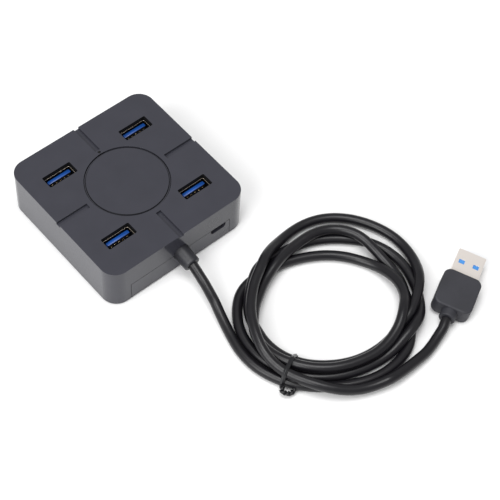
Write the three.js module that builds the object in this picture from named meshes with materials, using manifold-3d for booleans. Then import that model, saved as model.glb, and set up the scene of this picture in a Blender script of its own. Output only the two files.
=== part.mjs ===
// Square four-port USB hub on a coiled, captive USB-A cable. Millimetres, +Z up.
// The origin is under the middle of the hub, on the table; the cable leaves through the -Y side.

import * as THREE from 'three';
import { mergeVertices } from 'three/addons/utils/BufferGeometryUtils.js';
import Module from 'manifold-3d';

const wasm = await Module();
wasm.setup();

// Hub body.
const side = 70;
const height = 21.2;
const cornerRadius = 7;
const footHeight = 0.5;
const wall = 2;
const topPlate = 2.4;
const seam = 0.15;
const ceiling = height - topPlate;

// Features of the top face.
const portReach = 19.6;
const portCutout = { width: 13.8, depth: 6.0, radius: 0.5 };
const discRadius = 17.1;
const pocketRadius = 17.9;
const pocketDepth = 1.3;
const ringGrooveDepth = 0.55;
const grooveWidth = 2.4;
const grooveDepth = 1.2;
const grooveStart = 20;
const ledReach = 18.9;
const ledHoleRadius = 0.65;

// Front panel of the bottom cover, and what passes through it.
const panelHalfWidth = 25.85;
const panelTop = 9.95;
const bootHeight = 9.7;
const bootRadius = 3.65;
const bootDroop = THREE.MathUtils.degToRad(12);
const bootLength = 7.3;
const bootFlange = 1.6;
const powerSlot = { left: 15.8, right: 23.4, bottom: 7.2, bevel: 1.0 };

// Inside stack.
const floorTop = 2.3;
const boardBottom = 5.4;
const boardTop = 7.0;
const boardSize = 62;
const postReach = 27.5;
const postRadius = 2.6;
const screwRadius = 0.95;
const screwHead = { radius: 1.9, height: 1.3 };
const screwLength = 11;

// Standard-A receptacle standing on the board, mouth upwards.
const receptacle = { width: 13.1, depth: 5.7, sheet: 0.3, rimDepth: 2.0, radius: 0.8 };
const tongue = { width: 11.1, thickness: 1.84, tipDepth: 2.5, shift: 0.92 };
const contactThickness = 0.22;
const contactDrop = 1.2;
const contactPitch = 2;

// Cable and plug.
const cableRadius = 2.15;
const meetingGap = 0.3;
const coil = {
  outline: [
    [80, -87], [76, -70], [65, -55.5], [46, -48.8], [28, -52.5], [10, -60.5], [-3, -69], [-10.6, -80],
    [-10.2, -93], [-3.5, -107], [7, -119], [22, -126.6], [37, -127.3], [50, -122], [60, -115.3], [71, -103.5],
  ],
  inner: { x: 31.8, y: -89.6, halfWidth: 28.4, halfDepth: 24.6 },
  height: 11.6,
  edge: 2,
};
const tie = {
  x: 0.2,
  y: -101.4,
  angle: THREE.MathUtils.degToRad(26),
  halfWidth: 8.3,
  thickness: 0.7,
  width: 1.8,
  knotRadius: 0.95,
};
const plug = {
  x: 83.3,
  y: -114.9,
  angle: THREE.MathUtils.degToRad(26.8),
  roll: THREE.MathUtils.degToRad(6),
  edge: 1.2,
  bodyLength: 17.9,
  bodyWidth: 16.2,
  bodyHeight: 8,
  bodyRadius: 3.2,
  neckRadius: 3.45,
  neckLength: 3.4,
  shellLength: 12.1,
  shellWidth: 12,
  shellHeight: 4.5,
};
// The rolled plug stands on the lower edge of its body.
plug.centreHeight = Math.cos(plug.roll) * (plug.bodyHeight / 2)
  + Math.sin(plug.roll) * (plug.bodyWidth / 2 - plug.edge);

const quadrants = [
  { name: 'front_left', x: -1, y: -1 },
  { name: 'front_right', x: 1, y: -1 },
  { name: 'back_right', x: 1, y: 1 },
  { name: 'back_left', x: -1, y: 1 },
];

// Shapes and solids.

function roundedRect(width, depth, radius) {
  const x = width / 2 - radius;
  const y = depth / 2 - radius;
  const shape = new THREE.Shape();
  shape.absarc(x, y, radius, 0, Math.PI / 2);
  shape.absarc(-x, y, radius, Math.PI / 2, Math.PI);
  shape.absarc(-x, -y, radius, Math.PI, 1.5 * Math.PI);
  shape.absarc(x, -y, radius, 1.5 * Math.PI, 2 * Math.PI);
  return shape;
}

function ellipse({ x, y, halfWidth, halfDepth }) {
  const shape = new THREE.Shape();
  shape.absellipse(x, y, halfWidth, halfDepth, 0, 2 * Math.PI);
  return shape;
}

function prism(shape, bottom, top, curveSegments = 8) {
  const depth = top - bottom;
  const geometry = new THREE.ExtrudeGeometry(shape, { depth, bevelEnabled: false, curveSegments });
  geometry.translate(0, 0, bottom);
  return geometry;
}

function box(x, y, bottom, width, depth, top) {
  const geometry = new THREE.BoxGeometry(width, depth, top - bottom);
  geometry.translate(x, y, (bottom + top) / 2);
  return geometry;
}

function rod(x, y, bottom, top, radius, sides = 24) {
  const geometry = new THREE.CylinderGeometry(radius, radius, top - bottom, sides);
  geometry.rotateX(Math.PI / 2);
  geometry.translate(x, y, (bottom + top) / 2);
  return geometry;
}

// A rod along Y, from the back to the front.
function rodAlongY(x, z, back, front, radius, sides = 32) {
  const geometry = new THREE.CylinderGeometry(radius, radius, back - front, sides);
  geometry.translate(x, (back + front) / 2, z);
  return geometry;
}

function tube(points, radius, sides, steps) {
  const section = new THREE.Shape();
  for (let i = 0; i < sides; i += 1) {
    const angle = (2 * Math.PI * i) / sides;
    const corner = [radius * Math.cos(angle), radius * Math.sin(angle)];
    if (i === 0) section.moveTo(...corner);
    else section.lineTo(...corner);
  }
  section.closePath();
  const extrudePath = new THREE.CatmullRomCurve3(points.map((point) => new THREE.Vector3(...point)));
  return new THREE.ExtrudeGeometry(section, { steps, extrudePath, bevelEnabled: false });
}

function toSolid(geometry) {
  const bare = geometry.clone();
  bare.deleteAttribute('normal');
  bare.deleteAttribute('uv');
  const merged = mergeVertices(bare, 1e-4);
  const vertProperties = Float32Array.from(merged.attributes.position.array);
  const triVerts = Uint32Array.from(merged.index.array);
  return new wasm.Manifold(new wasm.Mesh({ numProp: 3, vertProperties, triVerts }));
}

function toGeometry(solid) {
  const mesh = solid.getMesh();
  const geometry = new THREE.BufferGeometry();
  geometry.setAttribute('position', new THREE.BufferAttribute(Float32Array.from(mesh.vertProperties), 3));
  geometry.setIndex(new THREE.BufferAttribute(Uint32Array.from(mesh.triVerts), 1));
  geometry.computeVertexNormals();
  return geometry;
}

function combine(base, joined, cut) {
  let solid = toSolid(base);
  for (const geometry of joined) solid = solid.add(toSolid(geometry));
  for (const geometry of cut) solid = solid.subtract(toSolid(geometry));
  return toGeometry(solid);
}

// Materials.

const finishes = {
  housing: { color: 0x1b1b1d, roughness: 0.3, metalness: 0 },
  rubber: { color: 0x18181a, roughness: 0.8, metalness: 0 },
  moulding: { color: 0x242427, roughness: 0.55, metalness: 0 },
  jacket: { color: 0x17171a, roughness: 0.4, metalness: 0 },
  steel: { color: 0xc9c4bb, roughness: 0.3, metalness: 1 },
  blue: { color: 0x1463c8, roughness: 0.45, metalness: 0 },
  gold: { color: 0xd9b365, roughness: 0.3, metalness: 1 },
  board: { color: 0x12402a, roughness: 0.5, metalness: 0 },
  chip: { color: 0x202022, roughness: 0.6, metalness: 0 },
  clear: { color: 0xe8eef2, roughness: 0.15, metalness: 0 },
  red: { color: 0xa81f1c, roughness: 0.5, metalness: 0 },
  white: { color: 0xd8d8d4, roughness: 0.5, metalness: 0 },
};

const hub = new THREE.Group();

function place(name, geometry, finish, parent = hub) {
  const mesh = new THREE.Mesh(geometry, new THREE.MeshStandardMaterial(finishes[finish]));
  mesh.name = name;
  parent.add(mesh);
  return mesh;
}

// Housing.

const front = -side / 2;
const inside = side - 2 * wall;
const arcSteps = 12;
const margin = 1;

// The hole through the front wall that holds the cable boot.
function bootHole() {
  return rodAlongY(0, bootHeight, front + wall + margin, front - margin, bootRadius + seam);
}

function topGrooves() {
  const length = side / 2 + margin - grooveStart;
  const middle = grooveStart + length / 2;
  const bottom = height - grooveDepth;
  const top = height + margin;
  return [1, -1].flatMap((sign) => [
    box(sign * middle, 0, bottom, length, grooveWidth, top),
    box(0, sign * middle, bottom, grooveWidth, length, top),
  ]);
}

function portCutouts() {
  return quadrants.map(({ x, y }) => {
    const shape = roundedRect(portCutout.width, portCutout.depth, portCutout.radius);
    const geometry = prism(shape, ceiling - margin, height + margin, 3);
    geometry.translate(x * portReach, y * portReach, 0);
    return geometry;
  });
}

// The pillars that hang from the top plate down to the board, and their screw holes.
function pillars() {
  return {
    posts: quadrants.map(({ x, y }) =>
      rod(x * postReach, y * postReach, boardTop + seam, ceiling + margin / 2, postRadius)),
    holes: quadrants.map(({ x, y }) =>
      rod(x * postReach, y * postReach, boardTop, floorTop + screwLength + margin, screwRadius + seam, 12)),
  };
}

function topHousing() {
  const shell = prism(roundedRect(side, side, cornerRadius), footHeight, height, arcSteps);
  const cavityOutline = roundedRect(inside, inside, cornerRadius - wall);
  const cavity = prism(cavityOutline, footHeight - margin, ceiling, arcSteps);
  const panelGap = box(0, front, footHeight - margin, 2 * panelHalfWidth, 2 * wall + margin, panelTop);
  const pocket = rod(0, 0, height - pocketDepth, height + margin, pocketRadius, 72);
  const ledHole = rod(0, ledReach, ceiling - margin, height + margin, ledHoleRadius, 16);
  const { posts, holes } = pillars();
  const hollow = combine(shell, [], [cavity, panelGap, bootHole()]);
  return combine(hollow, posts, [...holes, pocket, ledHole, ...topGrooves(), ...portCutouts()]);
}

function powerSlotCut() {
  const { left, right, bottom, bevel } = powerSlot;
  const shape = new THREE.Shape();
  shape.moveTo(left, panelTop + margin);
  shape.lineTo(left, bottom + bevel);
  shape.lineTo(left + bevel, bottom);
  shape.lineTo(right - bevel, bottom);
  shape.lineTo(right, bottom + bevel);
  shape.lineTo(right, panelTop + margin);
  shape.closePath();
  const geometry = prism(shape, 0, wall + 2 * margin);
  geometry.rotateX(Math.PI / 2);
  geometry.translate(0, front + wall + margin, 0);
  return geometry;
}

function bottomCover() {
  const plateSize = inside - 2 * seam;
  const lipWidth = 1.2;
  const lipTop = floorTop + 1.6;
  const plateOutline = roundedRect(plateSize, plateSize, cornerRadius - wall - seam);
  const plate = prism(plateOutline, footHeight, lipTop, arcSteps);
  const lipSize = plateSize - 2 * lipWidth;
  const lipOutline = roundedRect(lipSize, lipSize, cornerRadius - wall - lipWidth);
  const tray = prism(lipOutline, floorTop, lipTop + margin, arcSteps);
  const sill = box(0, front + wall, footHeight, 2 * (panelHalfWidth - seam), 2 * wall, floorTop);
  const panelDepth = wall - seam;
  const panelWidth = 2 * (panelHalfWidth - seam);
  const panel = box(0, front + panelDepth / 2, footHeight, panelWidth, panelDepth, panelTop - seam);
  const posts = quadrants.map(({ x, y }) =>
    rod(x * postReach, y * postReach, floorTop - margin, boardBottom, postRadius));
  const counterbores = quadrants.map(({ x, y }) =>
    rod(x * postReach, y * postReach, footHeight - margin, floorTop, screwHead.radius + seam));
  const holes = quadrants.map(({ x, y }) =>
    rod(x * postReach, y * postReach, footHeight, boardBottom + margin, screwRadius + seam, 12));
  const dished = combine(plate, [], [tray]);
  return combine(dished, [sill, panel, ...posts], [...counterbores, ...holes, bootHole(), powerSlotCut()]);
}

// The disc is stepped: the ring groove is the gap around its raised face.
function centreDisc() {
  const flangeRadius = pocketRadius - seam;
  const profile = [
    [0, height - pocketDepth],
    [flangeRadius, height - pocketDepth],
    [flangeRadius, height - ringGrooveDepth],
    [discRadius, height - ringGrooveDepth],
    [discRadius, height],
    [0, height],
  ];
  const geometry = new THREE.LatheGeometry(profile.map((point) => new THREE.Vector2(...point)), 72);
  geometry.rotateX(Math.PI / 2);
  return geometry;
}

function rubberFoot() {
  return rod(0, 0, 0, footHeight, 4, 32);
}

function screw() {
  const headTop = floorTop;
  const head = rod(0, 0, headTop - screwHead.height, headTop, screwHead.radius, 20);
  const shank = rod(0, 0, headTop - screwHead.height / 2, headTop + screwLength, screwRadius, 12);
  const slot = box(0, 0, headTop - screwHead.height - margin, 2.2, 0.5, headTop - 0.7);
  const crossSlot = box(0, 0, headTop - screwHead.height - margin, 0.5, 2.2, headTop - 0.7);
  return combine(head, [shank], [slot, crossSlot]);
}

function buildHousing() {
  place('top_housing', topHousing(), 'housing');
  place('bottom_cover', bottomCover(), 'housing');
  place('centre_disc', centreDisc(), 'housing');
  for (const { name, x, y } of quadrants) {
    place(`rubber_foot_${name}`, rubberFoot(), 'rubber').position.set(x * postReach, y * postReach, 0);
    place(`screw_${name}`, screw(), 'steel').position.set(x * postReach, y * postReach, 0);
  }
}

// Board and what is soldered to it.

function circuitBoard() {
  const board = prism(roundedRect(boardSize, boardSize, 2), boardBottom, boardTop, 3);
  const holes = quadrants.map(({ x, y }) =>
    rod(x * postReach, y * postReach, boardBottom - margin, boardTop + margin, screwRadius + seam, 12));
  return combine(board, [], holes);
}

function lightPipe() {
  const collarTop = ceiling - seam;
  const tip = rod(0, 0, collarTop - margin, height - 0.1, ledHoleRadius - 0.1, 16);
  const stem = rod(0, 0, boardTop + 1.2, collarTop, 1.0, 16);
  return combine(stem, [tip], []);
}

function can(radius, top) {
  const barrel = rod(0, 0, boardTop, top, radius, 24);
  const base = box(0, 0, boardTop, 2 * radius + 0.3, 2 * radius + 0.3, boardTop + 0.9);
  return combine(barrel, [base], []);
}

function buildBoard() {
  place('main_circuit_board', circuitBoard(), 'board');
  place('hub_controller_chip', box(0, 0, 0, 9, 9, 0.9), 'chip').position.set(0, 2, boardTop);
  place('crystal', box(0, 0, 0, 3.2, 2.5, 0.8), 'steel').position.set(9, -2, boardTop);
  place('voltage_regulator', box(0, 0, 0, 6.5, 3.5, 1.6), 'chip').position.set(9.5, -25.5, boardTop);
  place('input_capacitor', can(2.5, boardTop + 5.4), 'steel').position.set(-9, -26, 0);
  place('output_capacitor', can(2.0, boardTop + 5.4), 'steel').position.set(-15, -27, 0);
  place('status_led', box(0, 0, 0, 1.6, 0.8, 0.7), 'clear').position.set(0, ledReach, boardTop);
  place('led_light_pipe', lightPipe(), 'clear').position.set(0, ledReach, 0);
}

// Standard-A receptacle parts, about their own middle.

const rim = height - receptacle.rimDepth;
const tongueBase = boardTop + 2.4;
const tongueTip = height - tongue.tipDepth;
const tongueFace = tongue.shift - tongue.thickness / 2;

function receptacleShell() {
  const { width, depth, sheet, radius } = receptacle;
  const outer = prism(roundedRect(width, depth, radius), boardTop, rim, 4);
  const mouth = prism(roundedRect(width - 2 * sheet, depth - 2 * sheet, radius - sheet), boardTop - margin,
    rim + margin, 4);
  const windows = [-1, 1].map((sign) =>
    box(sign * 3.1, -depth / 2, rim - 7, 1.9, 4 * sheet, rim - 3.2));
  return combine(outer, [], [mouth, ...windows]);
}

function receptacleTongue() {
  const { width, depth, sheet, radius } = receptacle;
  const fit = 2 * (sheet + 0.06);
  const block = prism(roundedRect(width - fit, depth - fit, radius), boardTop, tongueBase, 4);
  const blade = box(0, tongue.shift, tongueBase - margin, tongue.width, tongue.thickness, tongueTip);
  return combine(block, [blade], []);
}

// Five contact strips in a row, joined where they leave the block.
function receptacleContacts() {
  const y = tongueFace - contactThickness / 2;
  const foot = tongueBase + 0.1;
  const bar = box(0, y, foot, 4 * contactPitch + 0.8, contactThickness, foot + 0.6);
  const strips = [-2, -1, 0, 1, 2].map((step) =>
    box(step * contactPitch, y, foot, 0.8, contactThickness, tongueTip - contactDrop));
  return combine(bar, strips, []);
}

function buildPorts() {
  for (const { name, x, y } of quadrants) {
    const port = new THREE.Group();
    port.position.set(x * portReach, y * portReach, 0);
    place(`usb_port_shell_${name}`, receptacleShell(), 'steel', port);
    place(`usb_port_tongue_${name}`, receptacleTongue(), 'blue', port);
    place(`usb_port_contacts_${name}`, receptacleContacts(), 'gold', port);
    hub.add(port);
  }
}

// Micro-B power jack behind the slot in the front panel.

function microShape(width, tall, bevel) {
  const shape = new THREE.Shape();
  shape.moveTo(-width / 2, tall / 2);
  shape.lineTo(-width / 2, bevel - tall / 2);
  shape.lineTo(bevel - width / 2, -tall / 2);
  shape.lineTo(width / 2 - bevel, -tall / 2);
  shape.lineTo(width / 2, bevel - tall / 2);
  shape.lineTo(width / 2, tall / 2);
  shape.closePath();
  return shape;
}

function buildPowerJack() {
  const length = 5;
  const shellHeight = 2.6;
  const sheet = 0.25;
  const jack = new THREE.Group();
  const middle = (powerSlot.left + powerSlot.right) / 2;
  jack.position.set(middle, front + wall + meetingGap + length, boardTop + 0.1 + shellHeight / 2);
  jack.rotation.x = Math.PI / 2;
  const outer = prism(microShape(7.5, shellHeight, 0.9), 0, length);
  const inner = prism(microShape(7.5 - 2 * sheet, shellHeight - 2 * sheet, 0.8), -margin, length + margin);
  place('power_jack_shell', combine(outer, [], [inner]), 'steel', jack);
  const block = box(0, 0.2, 0.1, 6.2, 1.3, 1.2);
  const blade = box(0, 0.4, 1, 3.6, 0.6, length - 0.9);
  place('power_jack_tongue', combine(block, [blade], []), 'chip', jack);
  hub.add(jack);
}

// Cable: boot, inner lead, wires, lead, coil, tail.

// How high the boot's middle is at a distance in front of the wall, as it bows down.
function bootMiddle(distance) {
  const settle = 1.5;
  return bootHeight - (Math.tan(bootDroop) * distance * distance) / (distance + settle);
}

// The boot runs straight through the wall and then bows down, and it holds the cable's end.
function cableBoot() {
  const inner = front + wall + bootFlange;
  const path = [[0, inner, bootHeight], [0, front + 0.6, bootHeight]];
  for (const part of [0.25, 0.5, 0.75, 1]) {
    const distance = part * bootLength;
    path.push([0, front - distance, bootMiddle(distance)]);
  }
  const body = tube(path, bootRadius, 24, 12);
  const flange = rodAlongY(0, bootHeight, inner, front + wall + seam, bootRadius + 1.1, 24);
  return combine(body, [flange], []);
}

const leadRoute = [
  [0, front - bootLength - meetingGap, bootMiddle(bootLength) - 0.1],
  [-0.4, -46.5, 7.4],
  [-1.0, -51.2, 6.3],
  [-2.0, -56.2, 5.4],
  [-3.2, -61.2, 4.8],
  [-4.4, -65.6, 4.5],
];

// The tail runs from the coil to the neck of the plug.
function tailRoute() {
  const along = (distance) => [
    plug.x - distance * Math.cos(plug.angle),
    plug.y - distance * Math.sin(plug.angle),
  ];
  const neckEnd = plug.bodyLength + plug.neckLength + meetingGap;
  return [
    [39, -130.8, 3.9],
    [45, -130.1, 3.2],
    [51, -129.2, 3.0],
    [56, -127.8, 3.4],
    [...along(neckEnd + 4), plug.centreHeight - 0.5],
    [...along(neckEnd + 2), plug.centreHeight - 0.1],
    [...along(neckEnd), plug.centreHeight],
  ];
}

// The whole bundle of turns, with a shallow groove where the tie goes round it.
function coilSolid() {
  const round = new THREE.CatmullRomCurve3(coil.outline.map(([x, y]) => new THREE.Vector3(x, y, 0)), true);
  const outline = new THREE.Shape(round.getPoints(5 * coil.outline.length).slice(0, -1));
  outline.holes.push(ellipse(coil.inner));
  const ring = new THREE.ExtrudeGeometry(outline, {
    depth: coil.height - 2 * coil.edge,
    bevelThickness: coil.edge,
    bevelSize: coil.edge,
    bevelOffset: -coil.edge,
    bevelSegments: 2,
    curveSegments: 24,
  });
  ring.translate(0, 0, coil.edge);
  return combine(ring, [], [tieFrame(meetingGap), tieKnot(meetingGap)]);
}

// A rectangular frame round the bundle; clearance makes it larger on every side.
function tieFrame(clearance) {
  const reach = tie.halfWidth + clearance;
  const inner = tie.halfWidth - tie.thickness - clearance;
  const base = clearance > 0 ? -margin : 0;
  const top = coil.height + tie.thickness + clearance;
  const outer = box(0, 0, base, 2 * reach, tie.width + 2 * clearance, top);
  const core = box(0, 0, tie.thickness + clearance, 2 * inner, 3 * tie.width, coil.height - clearance);
  const geometry = combine(outer, [], [core]);
  geometry.rotateZ(tie.angle);
  geometry.translate(tie.x, tie.y, 0);
  return geometry;
}

// The two ends of the tie are twisted together and curl forwards.
function tieKnot(clearance) {
  const route = [
    [-7.5, -105.2, 3.4],
    [-8.3, -106.9, 2.8],
    [-7.6, -109.0, 2.2],
    [-5.4, -110.2, 1.9],
    [-3.6, -109.4, 1.8],
  ];
  return tube(route, tie.knotRadius + clearance, 8, 12);
}

function wire(name, finish, start, end, shift) {
  const top = bootHeight + shift;
  const route = [
    [start, front + wall + 6.4, top],
    [(start + end) / 2, front + wall + 8.5, top - 0.4],
    [end, front + wall + 11, boardTop + 1],
    [end, front + wall + 13, boardTop + 0.65],
  ];
  place(name, tube(route, 0.5, 8, 10), finish);
}

function buildCable() {
  place('cable_boot', cableBoot(), 'moulding');
  const innerFront = front + wall + bootFlange + meetingGap;
  place('cable_inner_lead', rodAlongY(0, bootHeight, innerFront + 4, innerFront, cableRadius, 16), 'jacket');
  wire('power_wire', 'red', -1.3, -3, 0.3);
  wire('ground_wire', 'chip', 1.3, 3, 0.3);
  wire('data_wire_positive', 'white', -0.6, -1, -1);
  wire('data_wire_negative', 'blue', 0.6, 1, -1);
  place('cable_lead', tube(leadRoute, cableRadius, 10, 9), 'jacket');
  place('cable_coil', coilSolid(), 'jacket');
  place('cable_tail', tube(tailRoute(), cableRadius, 10, 9), 'jacket');
  place('twist_tie', combine(tieFrame(0), [tieKnot(0)], []), 'jacket');
}

// Plug: its own X axis is the way it goes in, from the shoulder where the shell comes out.

const shellRoot = 3;
const shellSheet = 0.3;
const windowSize = { length: 2, width: 2.5, fromTip: 6, reach: 3.1 };
const bladeThickness = 1.9;

function plugBody() {
  const { bodyLength, bodyWidth, bodyHeight, bodyRadius, edge, neckRadius, neckLength } = plug;
  const outline = roundedRect(bodyLength, bodyWidth, bodyRadius);
  const body = new THREE.ExtrudeGeometry(outline, {
    depth: bodyHeight - 2 * edge,
    bevelThickness: edge,
    bevelSize: edge,
    bevelOffset: -edge,
    bevelSegments: 3,
    curveSegments: 6,
  });
  body.translate(-bodyLength / 2, 0, edge - bodyHeight / 2);
  const neck = new THREE.CylinderGeometry(neckRadius, neckRadius, neckLength + margin, 32);
  neck.rotateZ(Math.PI / 2);
  neck.translate(-bodyLength - (neckLength - margin) / 2, 0, 0);
  const pocket = box(0, 0, -plug.shellHeight / 2 - seam, 2 * (shellRoot - seam), plug.shellWidth + 2 * seam,
    plug.shellHeight / 2 + seam);
  return combine(body, [neck], [pocket]);
}

function plugShell() {
  const { shellLength, shellWidth, shellHeight } = plug;
  const middle = (shellLength - shellRoot) / 2 + 0.6;
  const length = shellLength + shellRoot - 1.2;
  const outer = box(middle, 0, -shellHeight / 2, length, shellWidth, shellHeight / 2);
  const mouth = box(middle, 0, shellSheet - shellHeight / 2, length + 2 * margin, shellWidth - 2 * shellSheet,
    shellHeight / 2 - shellSheet);
  const windows = [-1, 1].map((sign) => {
    const { length: windowLength, width, fromTip, reach } = windowSize;
    return box(shellLength - fromTip, sign * reach, -shellHeight, windowLength, width, shellHeight);
  });
  return combine(outer, [], [mouth, ...windows]);
}

function plugBlade() {
  const top = plug.shellHeight / 2 - shellSheet - 0.05;
  const start = -1.2;
  const length = plug.shellLength - 0.4 - start;
  const width = plug.shellWidth - 2 * shellSheet - 0.2;
  return box(start + length / 2, 0, top - bladeThickness, length, width, top);
}

// Four contact strips under the blade, joined by a bar at their roots.
function plugContacts() {
  const top = plug.shellHeight / 2 - shellSheet - 0.05 - bladeThickness;
  const bottom = top - contactThickness;
  const bar = box(0, 0, bottom, 0.8, 8, top);
  const strips = [-3.5, -1, 1, 3.5].map((y) => box(4.8, y, bottom, 9.6, 1, top));
  return combine(bar, strips, []);
}

function buildPlug() {
  const turned = new THREE.Group();
  turned.position.set(plug.x, plug.y, plug.centreHeight);
  turned.rotation.z = plug.angle;
  const rolled = new THREE.Group();
  rolled.rotation.x = plug.roll;
  place('plug_body', plugBody(), 'moulding', rolled);
  place('plug_shell', plugShell(), 'steel', rolled);
  place('plug_blade', plugBlade(), 'blue', rolled);
  place('plug_contacts', plugContacts(), 'gold', rolled);
  turned.add(rolled);
  hub.add(turned);
}

buildHousing();
buildBoard();
buildPorts();
buildPowerJack();
buildCable();
buildPlug();

export default hub;
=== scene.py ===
"""A four-port USB hub with its coiled cable and plug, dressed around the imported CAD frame."""
import math

import bmesh
import bpy
import numpy as np
from mathutils import Matrix, Vector


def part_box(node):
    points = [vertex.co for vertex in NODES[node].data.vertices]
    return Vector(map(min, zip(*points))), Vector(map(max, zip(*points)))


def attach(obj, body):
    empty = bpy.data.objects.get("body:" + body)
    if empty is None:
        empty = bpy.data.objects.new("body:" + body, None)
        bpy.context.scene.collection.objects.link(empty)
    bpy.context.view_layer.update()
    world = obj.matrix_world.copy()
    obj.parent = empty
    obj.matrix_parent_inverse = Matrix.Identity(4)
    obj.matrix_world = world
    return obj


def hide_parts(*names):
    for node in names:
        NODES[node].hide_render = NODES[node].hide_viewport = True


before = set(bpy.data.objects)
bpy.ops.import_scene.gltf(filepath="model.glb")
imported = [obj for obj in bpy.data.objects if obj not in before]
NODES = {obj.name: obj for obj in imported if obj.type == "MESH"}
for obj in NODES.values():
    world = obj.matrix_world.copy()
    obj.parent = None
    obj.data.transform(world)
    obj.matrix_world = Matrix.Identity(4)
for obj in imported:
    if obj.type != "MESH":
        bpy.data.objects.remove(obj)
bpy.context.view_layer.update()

MM = 0.001
CORNERS = ("front_left", "front_right", "back_right", "back_left")


def link(obj):
    bpy.context.scene.collection.objects.link(obj)
    return obj


# ---------------------------------------------------------------- camera

CAMERA_AT = Vector((-0.21923, -0.29808, 0.51220))
CAMERA_AZIMUTH = math.radians(-44.45)
CAMERA_ELEVATION = math.radians(55.54)
CAMERA_ROLL = math.radians(4.64)
FOCAL_MM = 107.8
SENSOR_MM = 36.0


def make_camera():
    data = bpy.data.cameras.new("camera")
    data.lens = FOCAL_MM
    data.sensor_width = SENSOR_MM
    data.clip_start = 0.01
    camera = link(bpy.data.objects.new("camera", data))
    back = Vector((
        math.sin(CAMERA_AZIMUTH) * math.cos(CAMERA_ELEVATION),
        -math.cos(CAMERA_AZIMUTH) * math.cos(CAMERA_ELEVATION),
        math.sin(CAMERA_ELEVATION),
    ))
    level = Vector((0, 0, 1)).cross(back).normalized()
    upward = back.cross(level)
    right = level * math.cos(CAMERA_ROLL) + upward * math.sin(CAMERA_ROLL)
    up = upward * math.cos(CAMERA_ROLL) - level * math.sin(CAMERA_ROLL)
    turn = Matrix((right, up, back)).transposed().to_4x4()
    camera.matrix_world = Matrix.Translation(CAMERA_AT) @ turn
    bpy.context.scene.camera = camera


make_camera()


# ---------------------------------------------------------------- the cable's route, in mm

CABLE_RADIUS = 2.15
CABLE = 2 * CABLE_RADIUS
COIL_MIDDLE = (34.0, -90.0)
PER_TURN = 24
# how much higher a turn that lies on another is drawn
LAYER = 3.8

# from inside the boot, down to the table and to the coil
LEAD = [
    (0.0, -38.5, 9.2), (0.0, -42.6, 8.31), (-0.4, -46.5, 7.4), (-1.0, -51.2, 6.3),
    (-2.0, -56.2, 5.4), (-3.2, -61.2, 4.8), (-4.4, -65.6, 4.5), (-5.8, -70.6, 4.5),
    (-7.3, -76.0, 4.6), (-8.5, -82.5, 4.7),
]
# each turn of the coil, place by place: its angle, its radius, and the layer it lies in there
TURNS = [
    [(189, 42.0, 0.7), (200, 40.5, 0.3), (225, 38.0, 0), (250, 37.0, 0), (273, 36.5, 0),
     (286, 35.5, 0), (299, 33.8, 0), (310, 32.0, 0), (320, 31.2, 0.1), (338, 31.2, 0.6),
     (349, 31.3, 0.9), (359, 31.6, 1), (12, 32.3, 1), (24, 34.2, 1), (36, 36.2, 0.8),
     (46, 37.2, 0.6), (56, 35.7, 0.8), (65, 33.4, 1), (75, 31.4, 1), (86, 30.1, 1),
     (98, 29.2, 1), (112, 29.2, 1), (128, 30.5, 1), (145, 33.0, 1), (160, 35.2, 0.9)],
    [(176, 36.5, 0.4), (191, 35.5, 0.9), (206, 33.5, 1), (225, 32.0, 1), (248, 29.5, 1),
     (269, 29.5, 1.1), (284, 28.8, 1.5), (297, 29.2, 1.9), (313, 29.5, 2), (325, 30.0, 1.7),
     (337, 30.0, 1.1), (354, 28.9, 0.3), (8, 27.5, 0), (22, 26.2, 0), (38, 25.5, 0),
     (60, 25.6, 0), (73, 26.0, 0), (84, 27.2, 0), (99, 30.3, 0), (116, 34.0, 0),
     (133, 38.0, 0), (145, 39.5, 0), (157, 40.0, 0)],
    [(171, 40.5, 0), (188, 38.5, 0), (205, 36.5, 0), (225, 33.5, 0), (246, 31.5, 0),
     (263, 31.0, 0), (276, 31.5, 0.3), (288, 32.7, 0.9), (299, 34.2, 1), (309, 35.2, 0.6),
     (320, 36.0, 0.1), (331, 36.5, 0), (346, 37.2, 0), (1, 37.4, 0), (12, 37.0, 0),
     (20, 36.4, 0), (30, 34.9, 0), (42, 34.0, 0), (57, 33.4, 0), (73, 33.0, 0),
     (89, 32.8, 0.2), (105, 33.3, 0.8), (120, 34.2, 1), (134, 34.7, 0.6), (147, 34.6, 0.2),
     (160, 34.3, 0.1)],
    [(174, 34.0, 0.5), (187, 32.5, 0.1), (202, 31.0, 0), (217, 29.0, 0), (239, 27.5, 0),
     (258, 27.0, 0), (275, 27.0, 0.1), (288, 27.8, 0.5), (299, 29.2, 0.9), (309, 31.2, 1),
     (318, 33.2, 1), (328, 35.5, 1), (337, 37.5, 0.9), (350, 41.2, 0.4), (5, 44.1, 0),
     (25, 44.8, 0), (44, 44.8, 0), (57, 43.7, 0), (70, 41.0, 0.2), (82, 37.6, 0.8),
     (94, 34.9, 1.5), (105, 33.6, 1.9), (117, 33.2, 2), (140, 33.3, 2), (154, 34.3, 2),
     (166, 36.0, 2)],
    [(180, 38.5, 1.9), (192, 39.5, 1.5), (207, 39.5, 1.1), (225, 40.0, 1), (242, 40.5, 0.9),
     (259, 40.5, 0.7), (274, 41.0, 0.5)],
]
# from the coil to the plug, and up into its neck
TAIL = [
    (45.0, -130.1, 3.2), (51.0, -129.2, 3.0), (56.0, -127.8, 3.4), (60.45, -126.44, 4.2),
    (62.24, -125.54, 4.6), (64.02, -124.64, 4.7),
]


def curve_at(values, t):
    """A smooth curve through the values, at a place t counted in values."""
    last = len(values) - 1
    i = min(max(int(t), 0), last - 1)
    f = t - i
    a, b, c, d = (values[min(max(k, 0), last)] for k in (i - 1, i, i + 1, i + 2))
    return 0.5 * (
        2 * b + (c - a) * f + (2 * a - 5 * b + 4 * c - d) * f * f
        + (3 * b - a - 3 * c + d) * f ** 3
    )


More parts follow.
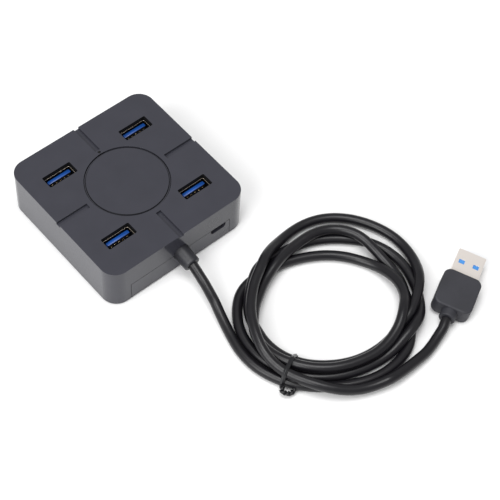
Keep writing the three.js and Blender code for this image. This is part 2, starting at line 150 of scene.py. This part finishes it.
def coil_plan():
    """The coil's turns, laid out as drawn, before they settle on each other."""
    places = [place for turn in TURNS for place in turn]
    angles = np.unwrap(np.radians([angle for angle, _, _ in places]))
    radii = np.array([radius for _, radius, _ in places])
    layers = np.array([layer for _, _, layer in places])
    slopes = np.gradient(radii, angles)
    points = []
    for angle in np.arange(angles[0], angles[-1], 2 * math.pi / PER_TURN):
        i = min(np.searchsorted(angles, angle, "right"), len(angles) - 1) - 1
        width = angles[i + 1] - angles[i]
        f = (angle - angles[i]) / width
        bend = f * f * (3 - 2 * f)
        radius = (
            radii[i] + (radii[i + 1] - radii[i]) * bend
            + width * f * (1 - f) * (slopes[i] * (1 - f) - slopes[i + 1] * f)
        )
        height = CABLE_RADIUS + LAYER * (layers[i] + (layers[i + 1] - layers[i]) * bend)
        points.append((
            COIL_MIDDLE[0] + radius * math.cos(angle),
            COIL_MIDDLE[1] + radius * math.sin(angle),
            height,
        ))
    return points


def evenly(points, step):
    """The smooth line through the points, cut into equal steps."""
    points = np.array(points, float)
    dense = [curve_at(points, t) for t in np.arange(0, len(points) - 1, 1 / 12)]
    dense = np.array(dense + [points[-1]])
    along = np.r_[0, np.cumsum(np.linalg.norm(np.diff(dense, axis=0), axis=1))]
    places = np.linspace(0, along[-1], round(along[-1] / step) + 1)
    return np.stack([np.interp(places, along, dense[:, k]) for k in range(3)], axis=1)


def settle(drawn, step, rounds):
    """The cable's turns push each other apart and sink until they rest on the table or each other.

    Its two ends stay as drawn. Everything else is also pulled back towards the drawn route and
    smoothed by the cable's stiffness. The pull and the sinking weaken in the last rounds.
    """
    held_start = 12
    held_end = 20
    give = 0.7
    sideways = 0.6
    pull = 0.1
    sink = 0.05
    stiffness = 0.4
    ceiling = 9.6
    calm_from = 0.75
    calm_pull = 0.3
    calm_sink = 0.2
    line = drawn.copy()
    count = len(line)
    order = np.arange(count)
    apart = np.abs(order[:, None] - order[None]) * step > 3 * CABLE
    free = slice(held_start, count - held_end)
    weight = np.array([sideways, sideways, 1.0])
    for turn in range(rounds):
        gap = line[:, None] - line[None]
        distance = np.sqrt((gap ** 2).sum(2)) + 1e-9
        touching = apart & (distance < CABLE)
        share = np.where(touching, (CABLE - distance) / distance, 0)
        push = np.einsum("ij,ijk->ik", share, gap) * weight
        push *= give / np.sqrt(np.maximum(touching.sum(1), 1))[:, None]
        calm = turn > calm_from * rounds
        push[:, :2] += (calm_pull if calm else 1.0) * pull * (drawn[:, :2] - line[:, :2])
        push[:, 2] -= (calm_sink if calm else 1.0) * sink
        moved = line.copy()
        moved[free] += push[free]
        middle = (moved[:-2] + moved[2:]) / 2
        eased = moved.copy()
        eased[1:-1] += stiffness * (middle - moved[1:-1])
        moved[free] = eased[free]
        highest = np.maximum(line[:, 2], ceiling)
        moved[:, 2] = np.clip(moved[:, 2], CABLE_RADIUS, highest)
        line = moved
    return line


# the route settles as points this far apart, in this many rounds
STEP = 2.0
ROUNDS = 240
ROUTE = settle(evenly(LEAD + coil_plan() + TAIL, STEP), STEP, ROUNDS)


def round_tube(name, points, radius):
    """A round tube along the points, given in mm."""
    data = bpy.data.curves.new(name, "CURVE")
    data.dimensions = "3D"
    data.bevel_depth = radius * MM
    data.bevel_resolution = 8
    data.use_fill_caps = True
    spline = data.splines.new("POLY")
    spline.points.add(len(points) - 1)
    for knot, point in zip(spline.points, points):
        knot.co = (*(Vector(point) * MM), 1)
    spline.use_smooth = True
    return link(bpy.data.objects.new(name, data))


cable = round_tube("cable", evenly(ROUTE, 1.0), CABLE_RADIUS)


# ---------------------------------------------------------------- materials

def principled(name, colour, roughness, metallic=0.0, **sockets):
    """A material with its nodes, and its shader's constant sockets set."""
    material = bpy.data.materials.new(name)
    material.use_nodes = True
    shader = material.node_tree.nodes["Principled BSDF"]
    shader.inputs["Base Color"].default_value = (*colour, 1)
    shader.inputs["Roughness"].default_value = roughness
    shader.inputs["Metallic"].default_value = metallic
    for socket, value in sockets.items():
        shader.inputs[socket.replace("_", " ")].default_value = value
    return material


def noise(material, scale, detail=3.0):
    """A noise texture over the object, scale in features per metre."""
    tree = material.node_tree
    place = tree.nodes.new("ShaderNodeTexCoord")
    texture = tree.nodes.new("ShaderNodeTexNoise")
    texture.inputs["Scale"].default_value = scale
    texture.inputs["Detail"].default_value = detail
    tree.links.new(place.outputs["Object"], texture.inputs["Vector"])
    return texture.outputs["Fac"]


def spread(material, factor, socket, low, high, start=0.3, end=0.7):
    """The factor, from start to end, sets the socket from low to high: numbers, or colours."""
    tree = material.node_tree
    ramp = tree.nodes.new("ShaderNodeValToRGB")
    for stop, place, value in zip(ramp.color_ramp.elements, (start, end), (low, high)):
        stop.position = place
        stop.color = (*value, 1) if isinstance(value, tuple) else (value, value, value, 1)
    tree.links.new(factor, ramp.inputs["Fac"])
    shader = tree.nodes["Principled BSDF"]
    tree.links.new(ramp.outputs["Color"], shader.inputs[socket])


def bump(material, factor, height_mm):
    """The factor raises the surface by up to a height."""
    tree = material.node_tree
    node = tree.nodes.new("ShaderNodeBump")
    node.inputs["Distance"].default_value = height_mm * MM
    node.inputs["Strength"].default_value = 1.0
    shader = tree.nodes["Principled BSDF"]
    tree.links.new(factor, node.inputs["Height"])
    tree.links.new(node.outputs["Normal"], shader.inputs["Normal"])


def moulded(name, dark, light, rough, grain, grain_mm, **sockets):
    """Moulded plastic: a slightly uneven colour and gloss, and the fine grain of the mould."""
    material = principled(name, light, rough[0], **sockets)
    spread(material, noise(material, 90), "Base Color", dark, light)
    spread(material, noise(material, 400), "Roughness", *rough)
    bump(material, noise(material, grain, 2), grain_mm)
    return material


# the fine grain of plated sheet metal, in features per metre and in mm
METAL_GRAIN = 5000
METAL_GRAIN_MM = 0.0015


def metal(name, dark, light, rough, metallic=1.0):
    """Sheet or turned metal, with the fine grain that plating leaves."""
    material = principled(name, light, rough[0], metallic)
    grain = noise(material, METAL_GRAIN, 2)
    spread(material, noise(material, 60), "Base Color", dark, light)
    spread(material, grain, "Roughness", *rough)
    bump(material, grain, METAL_GRAIN_MM)
    return material


def grey(value):
    """A near-black plastic's colour, very slightly blue."""
    return (value, value * 1.01, value * 1.3)


MATERIALS = {
    "housing": moulded(
        "housing", grey(0.036), grey(0.040), (0.13, 0.19), 4500, 0.0015, Specular_IOR_Level=0.42),
    "disc": moulded(
        "disc", grey(0.035), grey(0.039), (0.13, 0.19), 4500, 0.0015, Specular_IOR_Level=0.42),
    "moulding": moulded(
        "moulding", grey(0.020), grey(0.027), (0.55, 0.66), 3200, 0.03),
    "jacket": moulded(
        "jacket", (0.0055, 0.005, 0.007), (0.0085, 0.008, 0.010), (0.28, 0.36), 2600, 0.008,
        Specular_IOR_Level=0.38),
    "boot": moulded(
        "boot", grey(0.012), grey(0.017), (0.42, 0.52), 3200, 0.02),
    "tie": moulded(
        "tie", grey(0.004), grey(0.008), (0.28, 0.38), 2600, 0.03),
    "rubber": moulded(
        "rubber", grey(0.02), grey(0.03), (0.7, 0.8), 2200, 0.04),
    "blue_plastic": moulded(
        "blue_plastic", (0.006, 0.055, 0.25), (0.010, 0.075, 0.33), (0.30, 0.40), 3000, 0.004),
    "blue_blade": moulded(
        "blue_blade", (0.05, 0.24, 0.62), (0.07, 0.29, 0.70), (0.30, 0.40), 3000, 0.004),
    # painted shade: a near-black, dull plastic laid on the openings' walls, narrow seams and the
    # tongues' hidden sides, where shade falls
    "painted_shade": moulded(
        "painted_shade", grey(0.003), grey(0.005), (0.75, 0.85), 3000, 0.02, Specular_IOR_Level=0.2),
    "chip": moulded(
        "chip", grey(0.02), grey(0.03), (0.5, 0.6), 3500, 0.02),
    "board": moulded(
        "board", (0.010, 0.07, 0.03), (0.015, 0.10, 0.045), (0.35, 0.45), 1800, 0.01),
    "clear": moulded(
        "clear", (0.80, 0.85, 0.88), (0.85, 0.90, 0.92), (0.08, 0.14), 2500, 0.001,
        IOR=1.49, Transmission_Weight=1.0),
    "wire_red": moulded(
        "wire_red", (0.45, 0.01, 0.01), (0.55, 0.02, 0.02), (0.4, 0.5), 2500, 0.01),
    "wire_black": moulded(
        "wire_black", grey(0.01), grey(0.02), (0.4, 0.5), 2500, 0.01),
    "wire_white": moulded(
        "wire_white", (0.65, 0.65, 0.63), (0.75, 0.75, 0.73), (0.4, 0.5), 2500, 0.01),
    "port_metal": metal(
        "port_metal", (0.80, 0.745, 0.70), (0.84, 0.78, 0.73), (0.30, 0.38), 0.55),
    "rim_metal": metal("rim_metal", (0.56, 0.49, 0.40), (0.66, 0.58, 0.48), (0.26, 0.34)),
    # painted shade: dark metal for the insides of the port shells
    "shaded_metal": metal(
        "shaded_metal", (0.03, 0.028, 0.025), (0.05, 0.045, 0.04), (0.4, 0.5)),
    "steel": metal("steel", (0.50, 0.50, 0.51), (0.60, 0.60, 0.61), (0.25, 0.35)),
    "aluminium_can": metal(
        "aluminium_can", (0.68, 0.69, 0.70), (0.75, 0.76, 0.77), (0.3, 0.4)),
    "contact_metal": metal(
        "contact_metal", (0.78, 0.60, 0.33), (0.86, 0.68, 0.40), (0.22, 0.32)),
}


def paint(obj, slot_name):
    obj.data.materials.clear()
    obj.data.materials.append(MATERIALS[slot_name])


def finish_piece(obj, slot_name, *replaced, look=None):
    """The piece takes its finish, rides on the hub, and stands for the CAD nodes."""
    paint(obj, look or slot_name)
    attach(obj, "root")
    if replaced:
        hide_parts(*replaced)
    return obj


# ---------------------------------------------------------------- pieces from the CAD nodes

SHARP_DEGREES = 32


def shade_by_angle(mesh, degrees):
    mesh.shade_smooth()
    mesh.set_sharp_from_angle(angle=math.radians(degrees))


def weigh_normals(piece):
    """Large flat faces keep their flat shading beside rounded edges."""
    weighted = piece.modifiers.new("weighted", "WEIGHTED_NORMAL")
    weighted.keep_sharp = True
    weighted.weight = 80


def round_edges(piece, width_mm, segments, degrees):
    """Edges sharper than this many degrees get rounded."""
    rounding = piece.modifiers.new("rounding", "BEVEL")
    rounding.width = width_mm * MM
    rounding.segments = segments
    rounding.limit_method = "ANGLE"
    rounding.angle_limit = math.radians(degrees)
    return rounding


def softened(node, slot_name, bevel_mm, look=None, edges=None):
    """A copy of the node's own shape, its flat faces joined up and its sharp edges rounded.

    look names a material that isn't the slot's own. edges names a second material for the
    rounded edges, where they line a narrow seam: painted shade in the seam.
    """
    mesh = NODES[node].data.copy()
    mesh.name = "fine_" + node
    work = bmesh.new()
    work.from_mesh(mesh)
    bmesh.ops.remove_doubles(work, verts=work.verts, dist=2e-7)
    bmesh.ops.dissolve_limit(
        work, angle_limit=math.radians(0.6), verts=work.verts, edges=work.edges
    )
    work.to_mesh(mesh)
    work.free()
    shade_by_angle(mesh, SHARP_DEGREES)
    piece = link(bpy.data.objects.new("fine_" + node, mesh))
    rounding = round_edges(piece, bevel_mm, 3, SHARP_DEGREES)
    rounding.miter_outer = "MITER_ARC"
    if edges:
        rounding.material = 1
    weigh_normals(piece)
    finish_piece(piece, slot_name, node, look=look)
    if edges:
        piece.data.materials.append(MATERIALS[edges])
    return piece


def second_finish(piece, look, chosen):
    """The chosen faces take a second material: chosen(middle in mm, normal)."""
    piece.data.materials.append(MATERIALS[look])
    for face in piece.data.polygons:
        if chosen(face.center / MM, face.normal):
            face.material_index = 1


# ---------------------------------------------------------------- pieces made here

def mesh_piece(name, verts, faces, angle=35):
    """A mesh from points in mm."""
    mesh = bpy.data.meshes.new(name)
    mesh.from_pydata([tuple(Vector(v) * MM) for v in verts], [], faces)
    work = bmesh.new()
    work.from_mesh(mesh)
    bmesh.ops.remove_doubles(work, verts=work.verts, dist=1e-7)
    bmesh.ops.recalc_face_normals(work, faces=work.faces)
    work.to_mesh(mesh)
    work.free()
    shade_by_angle(mesh, angle)
    return link(bpy.data.objects.new(name, mesh))


def skin(rings, closed_path=False):
    """Faces over rings of equally many points; open paths get flat ends."""
    sides = len(rings[0])
    count = len(rings)
    verts = [point for ring in rings for point in ring]
    faces = []
    for i in range(count if closed_path else count - 1):
        here, there = i * sides, ((i + 1) % count) * sides
        for k in range(sides):
            n = (k + 1) % sides
            faces.append((here + k, here + n, there + n, there + k))
    if not closed_path:
        faces.append(tuple(reversed(range(sides))))
        faces.append(tuple((count - 1) * sides + k for k in range(sides)))
    return verts, faces


def join_shapes(shapes):
    """Several shapes' points and faces, put together as one."""
    verts, faces = [], []
    for more_verts, more_faces in shapes:
        faces += [tuple(len(verts) + i for i in face) for face in more_faces]
        verts += more_verts
    return verts, faces


def rounded_end(last, radius, fillet, steps=6):
    """Stations that round off the end of a rod of this radius: places up to last, and scales."""
    stations = []
    for k in range(steps + 1):
        angle = math.radians(90 * k / steps)
        stations.append((
            last - fillet * (1 - math.sin(angle)),
            1 - fillet / radius * (1 - math.cos(angle)),
        ))
    return stations


def rounded_outline(width, height, radius, arc=6, flats=()):
    """A rounded rectangle; flats are extra places across its two long sides."""
    x, y = width / 2 - radius, height / 2 - radius
    corners = ((x, y, 0), (-x, y, 90), (-x, -y, 180), (x, -y, 270))
    points = []
    for index, (cx, cy, start) in enumerate(corners):
        for k in range(arc + 1):
            angle = math.radians(start + 90 * k / arc)
            points.append((cx + radius * math.cos(angle), cy + radius * math.sin(angle)))
        if index == 0:
            points += [(place, height / 2) for place in sorted(flats, reverse=True)]
        if index == 2:
            points += [(place, -height / 2) for place in sorted(flats)]
    return points


BOOT_RADIUS = 3.65
BOOT_LENGTH = 7.3
BOOT_HEIGHT = 9.7
BOOT_FILLET = 0.7
FRONT_WALL_Y = -35.0
# the boot leaves the wall level and bows down to this slope, most of it within this distance
BOOT_DROOP = math.tan(math.radians(12))
BOOT_BOW = 1.5


def make_boot():
    """The moulded strain relief: out through the front wall, bowing down, with a rounded end."""
    sides = 48
    step = 0.6
    straight = BOOT_LENGTH - BOOT_FILLET
    inner_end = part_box("cable_boot")[1].y / MM - FRONT_WALL_Y
    stations = [(-inner_end, 1.0)]
    stations += [(step * k, 1.0) for k in range(int(straight / step) + 1)]
    stations += rounded_end(BOOT_LENGTH, BOOT_RADIUS, BOOT_FILLET)
    rings = []
    for along, scale in stations:
        out = max(along, 0)
        drop = BOOT_DROOP * out ** 2 / (out + BOOT_BOW)
        slope = BOOT_DROOP * (out ** 2 + 2 * out * BOOT_BOW) / (out + BOOT_BOW) ** 2
        middle = Vector((0, FRONT_WALL_Y - along, BOOT_HEIGHT - drop))
        up = Vector((0, -slope, 1)).normalized()
        ring = []
        for k in range(sides):
            angle = 2 * math.pi * k / sides
            offset = Vector((math.cos(angle), 0, 0)) + up * math.sin(angle)
            ring.append(middle + offset * BOOT_RADIUS * scale)
        rings.append(ring)
    piece = mesh_piece("strain_relief", *skin(rings))
    return finish_piece(piece, "moulding", "cable_boot", look="boot")


# the plug lies rolled over a little, with its shoulder face here
PLUG_SHOULDER = Vector((83.3, -114.9, 4.699))
PLUG_TURN = (
    Matrix.Rotation(math.radians(26.8), 3, "Z") @ Matrix.Rotation(math.radians(6), 3, "X")
)
SHELL_WIDTH = 12.0
SHELL_HEIGHT = 4.5
SHELL_REACH = 12.1
SHELL_SHEET = 0.3
SHELL_CORNER = 0.6
# the shell starts this far inside the overmould, and its windows lie between these places
SHELL_ROOT = -3.0
WINDOW_FROM = 5.1
WINDOW_TO = 7.1
WINDOW_INNER = 1.85
WINDOW_OUTER = 4.35
OVERMOULD_LENGTH = 17.9
OVERMOULD_WIDTH = 16.2
OVERMOULD_HEIGHT = 8.0
OVERMOULD_CORNER = 3.2
OVERMOULD_EDGE = 0.8
NECK_RADIUS = 3.45
NECK_LENGTH = 3.4
NECK_LIP = 0.5


def on_plug(x, y, z):
    """A place on the plug, in mm from its shoulder: ahead, across and up."""
    return PLUG_SHOULDER + PLUG_TURN @ Vector((x, y, z))


def make_plug_body():
    """The overmould: a rounded slab, its edges rolled over, with a short round neck."""
    edge_steps = 8
    slab = []
    for side in (-1, 1):
        for k in range(1, edge_steps + 1):
            angle = math.radians(90 * (k if side > 0 else edge_steps + 1 - k) / edge_steps)
            inset = OVERMOULD_EDGE * (1 - math.cos(angle))
            level = OVERMOULD_HEIGHT / 2 - OVERMOULD_EDGE * (1 - math.sin(angle))
            outline = rounded_outline(
                OVERMOULD_LENGTH - 2 * inset, OVERMOULD_WIDTH - 2 * inset,
                OVERMOULD_CORNER - inset * 0.8, 10,
            )
            slab.append([on_plug(x - OVERMOULD_LENGTH / 2, y, side * level) for x, y in outline])
    neck_sides = 48
    neck = []
    stations = [(OVERMOULD_LENGTH - 1.5, 1.0)]
    stations += rounded_end(OVERMOULD_LENGTH + NECK_LENGTH, NECK_RADIUS, NECK_LIP)
    for behind, scale in stations:
        ring = []
        for k in range(neck_sides):
            angle = 2 * math.pi * k / neck_sides
            spoke = NECK_RADIUS * scale
            ring.append(on_plug(-behind, spoke * math.cos(angle), spoke * math.sin(angle)))
        neck.append(ring)
    piece = mesh_piece("plug_overmould", *join_shapes([skin(slab), skin(neck)]), 50)
    weigh_normals(piece)
    return finish_piece(piece, "moulding", "plug_body")


def rolled_sheet(name, outline, stations, place, thickness, cut_out):
    """Sheet metal folded to an outline along its stations; cut_out(i, j) leaves a cell out."""
    sides = len(outline)
    verts = [place(u, v, t) for t in stations for u, v in outline]
    faces = []
    for j in range(len(stations) - 1):
        for i in range(sides):
            if cut_out(i, j):
                continue
            n = (i + 1) % sides
            faces.append((j * sides + i, j * sides + n, (j + 1) * sides + n, (j + 1) * sides + i))
    piece = mesh_piece(name, verts, faces)
    sheet = piece.modifiers.new("sheet", "SOLIDIFY")
    sheet.thickness = thickness * MM
    sheet.offset = -1
    sheet.use_even_offset = True
    round_edges(piece, 0.05, 2, 50)
    weigh_normals(piece)
    return piece


def make_plug_shell():
    """The plug's rolled shell, with two windows in its top and two in its bottom."""
    flats = (-WINDOW_OUTER, -WINDOW_INNER, WINDOW_INNER, WINDOW_OUTER)
    outline = rounded_outline(SHELL_WIDTH, SHELL_HEIGHT, SHELL_CORNER, 5, flats)
    stations = [SHELL_ROOT, WINDOW_FROM, WINDOW_TO, SHELL_REACH]

    def window(i, j):
        across, level = outline[i]
        next_across, next_level = outline[(i + 1) % len(outline)]
        middle = abs(across + next_across) / 2
        flat = abs(level - next_level) < 1e-6
        return j == 1 and flat and WINDOW_INNER < middle < WINDOW_OUTER

    piece = rolled_sheet(
        "plug_sheet_shell", outline, stations, lambda u, v, t: on_plug(t, u, v),
        SHELL_SHEET, window,
    )
    return finish_piece(piece, "port_metal", "plug_shell")


def ribbon_section(half_width, wire):
    """Across a twist tie: a round wire in the middle of a flat plastic ribbon."""
    flange = wire * 0.42
    points = []
    for k in range(24):
        angle = 2 * math.pi * k / 24
        u = half_width * math.cos(angle)
        side = math.sin(angle)
        ridge = math.sqrt(max(0.0, wire ** 2 - u ** 2))
        rib = flange * math.sqrt(max(0.0, 1 - (u / half_width) ** 2) + 0.05)
        points.append((u, math.copysign(max(ridge, rib), side) if abs(side) > 1e-9 else 0.0))
    return points


def convex_outline(points, step):
    """The outline of the points, anticlockwise, as a band drawn tight round them."""
    points = sorted(set(points))

    def half(run):
        chain = []
        for x, y in run:
            while len(chain) > 1:
                (ax, ay), (bx, by) = chain[-2:]
                if (bx - ax) * (y - ay) - (by - ay) * (x - ax) > 0:
                    break
                chain.pop()
            chain.append((x, y))
        return chain[:-1]

    corners = half(points) + half(points[::-1])
    outline = []
    for (ax, ay), (bx, by) in zip(corners, corners[1:] + corners[:1]):
        pieces = max(1, round(math.hypot(bx - ax, by - ay) / step))
        for k in range(pieces):
            outline.append((ax + (bx - ax) * k / pieces, ay + (by - ay) * k / pieces))
    return outline


# the tie goes round the bundle here, in an upright plane that runs across the turns
TIE_MIDDLE = Vector((0.2, -101.4, 0))
TIE_AZIMUTH = math.radians(26)
TIE_ACROSS = Vector((math.cos(TIE_AZIMUTH), math.sin(TIE_AZIMUTH), 0))
TIE_ALONG = Vector((-TIE_ACROSS.y, TIE_ACROSS.x, 0))
TIE_REACH = 16
TIE_WIRE = 0.45
TIE_HALF_WIDTH = 0.85
# its two twisted ends lean out from the bundle and curl round to their tips
TWIST_ROUTE = [
    (-7.9, -106.5, 3.2), (-7.4, -108.0, 2.6), (-6.1, -109.1, 2.2), (-4.4, -109.2, 2.1),
    (-3.2, -108.5, 2.2), (-2.6, -107.6, 2.5),
]
TWIST_STEP = 0.18
TWIST_PITCH = 3.2
TWIST_OFFSET = 0.52
TWIST_HALF_WIDTH = 0.82
TWIST_WIRE = 0.58


def tie_loop():
    """The line of the tie, drawn tight round the cables that cross its plane."""
    line = [Vector(point) for point in evenly(ROUTE, 0.5)]
    cloud = []
    for a, b in zip(line, line[1:]):
        before = (a - TIE_MIDDLE).dot(TIE_ALONG)
        after = (b - TIE_MIDDLE).dot(TIE_ALONG)
        if before * after > 0 or (a - TIE_MIDDLE).length >= TIE_REACH:
            continue
        hit = a.lerp(b, before / (before - after))
        for k in range(36):
            angle = math.radians(10 * k)
            cloud.append((
                (hit - TIE_MIDDLE).dot(TIE_ACROSS) + (CABLE_RADIUS + TIE_WIRE) * math.cos(angle),
                hit.z + (CABLE_RADIUS + TIE_WIRE) * math.sin(angle),
            ))
    return [
        TIE_MIDDLE + TIE_ACROSS * u + Vector((0, 0, max(z, TIE_WIRE)))
        for u, z in convex_outline(cloud, 0.6)
    ]


def tie_band(loop):
    """The ribbon round the bundle."""
    rings = []
    for i, point in enumerate(loop):
        ahead = (loop[(i + 1) % len(loop)] - loop[i - 1]).normalized()
        outward = ahead.cross(TIE_ALONG)
        rings.append([
            point + TIE_ALONG * u + outward * v
            for u, v in ribbon_section(TIE_HALF_WIDTH, TIE_WIRE)
        ])
    return skin(rings, closed_path=True)


def tie_end(path, phase):
    """One of the two ribbon ends that wind round each other along the path."""
    rings = []
    for i, point in enumerate(path):
        ahead = (path[min(i + 1, len(path) - 1)] - path[max(i - 1, 0)]).normalized()
        side = ahead.cross(Vector((0, 0, 1))).normalized()
        lift = side.cross(ahead)
        turn = phase + 2 * math.pi * i * TWIST_STEP / TWIST_PITCH
        outward = side * math.cos(turn) + lift * math.sin(turn)
        flat = ahead.cross(outward)
        middle = point + outward * TWIST_OFFSET
        rings.append([
            middle + flat * u + outward * v
            for u, v in ribbon_section(TWIST_HALF_WIDTH, TWIST_WIRE)
        ])
    return skin(rings)


def make_tie():
    """The twist tie: a ribbed ribbon drawn tight round the bundle, its two ends twisted up."""
    loop = tie_loop()
    leftmost = min(loop, key=lambda point: (point - TIE_MIDDLE).dot(TIE_ACROSS))
    start = [leftmost + TIE_ACROSS * 0.3 + Vector((0, 0, 1.4)), leftmost + Vector((0, -0.6, 0.9))]
    knots = [tuple(point) for point in start] + TWIST_ROUTE
    path = [Vector(point) for point in evenly(knots, TWIST_STEP)]
    shapes = [tie_band(loop)] + [tie_end(path, phase) for phase in (0, math.pi)]
    piece = mesh_piece("twisted_tie", *join_shapes(shapes), 60)
    return finish_piece(piece, "tie", "twist_tie")


def rounded_block(low, high, corner, edge):
    """An upright rounded block, with a small rolled edge round its top."""
    middle, size = (low + high) / 2, high - low
    outline = rounded_outline(size.x, size.y, corner)
    inner = rounded_outline(size.x - 2 * edge, size.y - 2 * edge, corner - edge)
    layers = ((outline, low.z), (outline, high.z - edge), (inner, high.z))
    return skin([[(middle.x + u, middle.y + v, z) for u, v in shape] for shape, z in layers])


# a port's tongue stands off the middle of its base block, towards the back
TONGUE_WIDTH = 11.1
TONGUE_THICKNESS = 1.84
TONGUE_SHIFT = 0.92
BLOCK_TOP = 9.4


def make_tongue(node):
    """A port's tongue on its block, rounded at the ends; its contact side and its block are painted
    dark: painted shade.
    """
    low, high = (Vector(corner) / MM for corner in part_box(node))
    middle = (low + high) / 2
    half = Vector((TONGUE_WIDTH / 2, TONGUE_THICKNESS / 2, 0))
    blade = Vector((middle.x, middle.y + TONGUE_SHIFT, 0))
    block_top = Vector((0, 0, BLOCK_TOP))
    tip = Vector((0, 0, high.z))
    shape = join_shapes([
        rounded_block(low, Vector((high.x, high.y, BLOCK_TOP)), 0.8, 0.1),
        rounded_block(blade - half + block_top, blade + half + tip, 0.6, 0.15),
    ])
    piece = finish_piece(mesh_piece("fine_" + node, *shape, 50), "blue_plastic", node)
    # painted shade on the tongue's contact side and on the block below its top
    second_finish(piece, "painted_shade", lambda spot, normal: normal.y < -0.6 or spot.z <= BLOCK_TOP)


def opening(node, across, deep):
    """Where the node stands, and how far its opening's walls may be from there, in mm."""
    low, high = (Vector(corner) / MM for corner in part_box(node))
    return (low + high) / 2, across, deep


# the walls of these openings are painted near-black above this height: painted shade inside the
# openings
OPENING_FLOOR = 15
OPENINGS = [opening("usb_port_shell_" + corner, 7.4, 3.7) for corner in CORNERS]
OPENINGS.append(opening("led_light_pipe", 1.2, 1.2))


def on_opening_wall(spot, normal):
    return abs(normal.z) < 0.5 and spot.z > OPENING_FLOOR and any(
        abs(spot.x - middle.x) < across and abs(spot.y - middle.y) < deep
        for middle, across, deep in OPENINGS
    )


def on_upright_face(spot, normal):
    return abs(normal.z) < 0.5


# painted shade on the walls of the ports' openings and of the light pipe's hole
second_finish(softened("top_housing", "housing", 0.20), "painted_shade", on_opening_wall)
# the rounded edges round the bottom cover and the disc are painted dark: painted shade in their
# seams
softened("bottom_cover", "housing", 0.22, edges="painted_shade")
softened("centre_disc", "disc", 0.14, edges="painted_shade")
for corner in CORNERS:
    softened("rubber_foot_" + corner, "rubber", 0.15)
    softened("screw_" + corner, "steel", 0.06)
    shell = softened("usb_port_shell_" + corner, "port_metal", 0.05, look="rim_metal")
    # the shells' upright faces are painted dark metal: painted shade inside the openings, and the
    # rims stay bright
    second_finish(shell, "shaded_metal", on_upright_face)
    make_tongue("usb_port_tongue_" + corner)
    softened("usb_port_contacts_" + corner, "contact_metal", 0.04)
softened("power_jack_shell", "port_metal", 0.05)
softened("power_jack_tongue", "chip", 0.05)
boot = make_boot()
plug_body = make_plug_body()
plug_shell = make_plug_shell()
plug_blade = softened("plug_blade", "blue_plastic", 0.06, look="blue_blade")
plug_contacts = softened("plug_contacts", "contact_metal", 0.03)
tie = make_tie()

CARRIED = {
    "main_circuit_board": "board", "hub_controller_chip": "chip", "crystal": "steel",
    "voltage_regulator": "chip", "input_capacitor": "aluminium_can",
    "output_capacitor": "aluminium_can", "status_led": "clear", "led_light_pipe": "clear",
    "cable_inner_lead": "jacket", "power_wire": "wire_red", "ground_wire": "wire_black",
    "data_wire_positive": "wire_white", "data_wire_negative": "blue_plastic",
}
for node, slot_name in CARRIED.items():
    paint(NODES[node], slot_name)

finish_piece(cable, "jacket", "cable_lead", "cable_coil", "cable_tail")


# ---------------------------------------------------------------- floor and light

def make_floor():
    """A plain pale floor, a hair below the hub's feet."""
    half = 2.0
    mesh = bpy.data.meshes.new("floor")
    mesh.from_pydata(
        [(-half, -half, 0), (half, -half, 0), (half, half, 0), (-half, half, 0)],
        [], [(0, 1, 2, 3)],
    )
    floor = link(bpy.data.objects.new("floor", mesh))
    material = principled("floor", (0.93, 0.93, 0.93), 0.6)
    spread(material, noise(material, 6), "Base Color", (0.92, 0.92, 0.92), (0.94, 0.94, 0.94))
    mesh.materials.append(material)
    floor.location.z = -0.0002


def soft_light(name, place, target, size, power):
    """A round soft light that faces the target."""
    data = bpy.data.lights.new(name, "AREA")
    data.shape = "DISK"
    data.size = size
    data.energy = power
    light = link(bpy.data.objects.new(name, data))
    light.location = place
    light.rotation_euler = (Vector(target) - Vector(place)).to_track_quat("-Z", "Y").to_euler()


def make_world():
    """Even white light from all round."""
    world = bpy.data.worlds.new("studio")
    world.use_nodes = True
    back = world.node_tree.nodes["Background"]
    back.inputs["Color"].default_value = (1, 1, 1, 1)
    back.inputs["Strength"].default_value = 0.5
    bpy.context.scene.world = world


make_floor()
make_world()
soft_light("key", (-1.0, -0.2, 0.9), (0, -0.04, 0), 1.0, 12)
soft_light("top", (-0.1, -0.1, 1.5), (0, -0.05, 0), 0.9, 12)
bpy.context.scene.view_settings.view_transform = "Standard"


# ---------------------------------------------------------------- the scene brought up to date

bpy.context.view_layer.update()
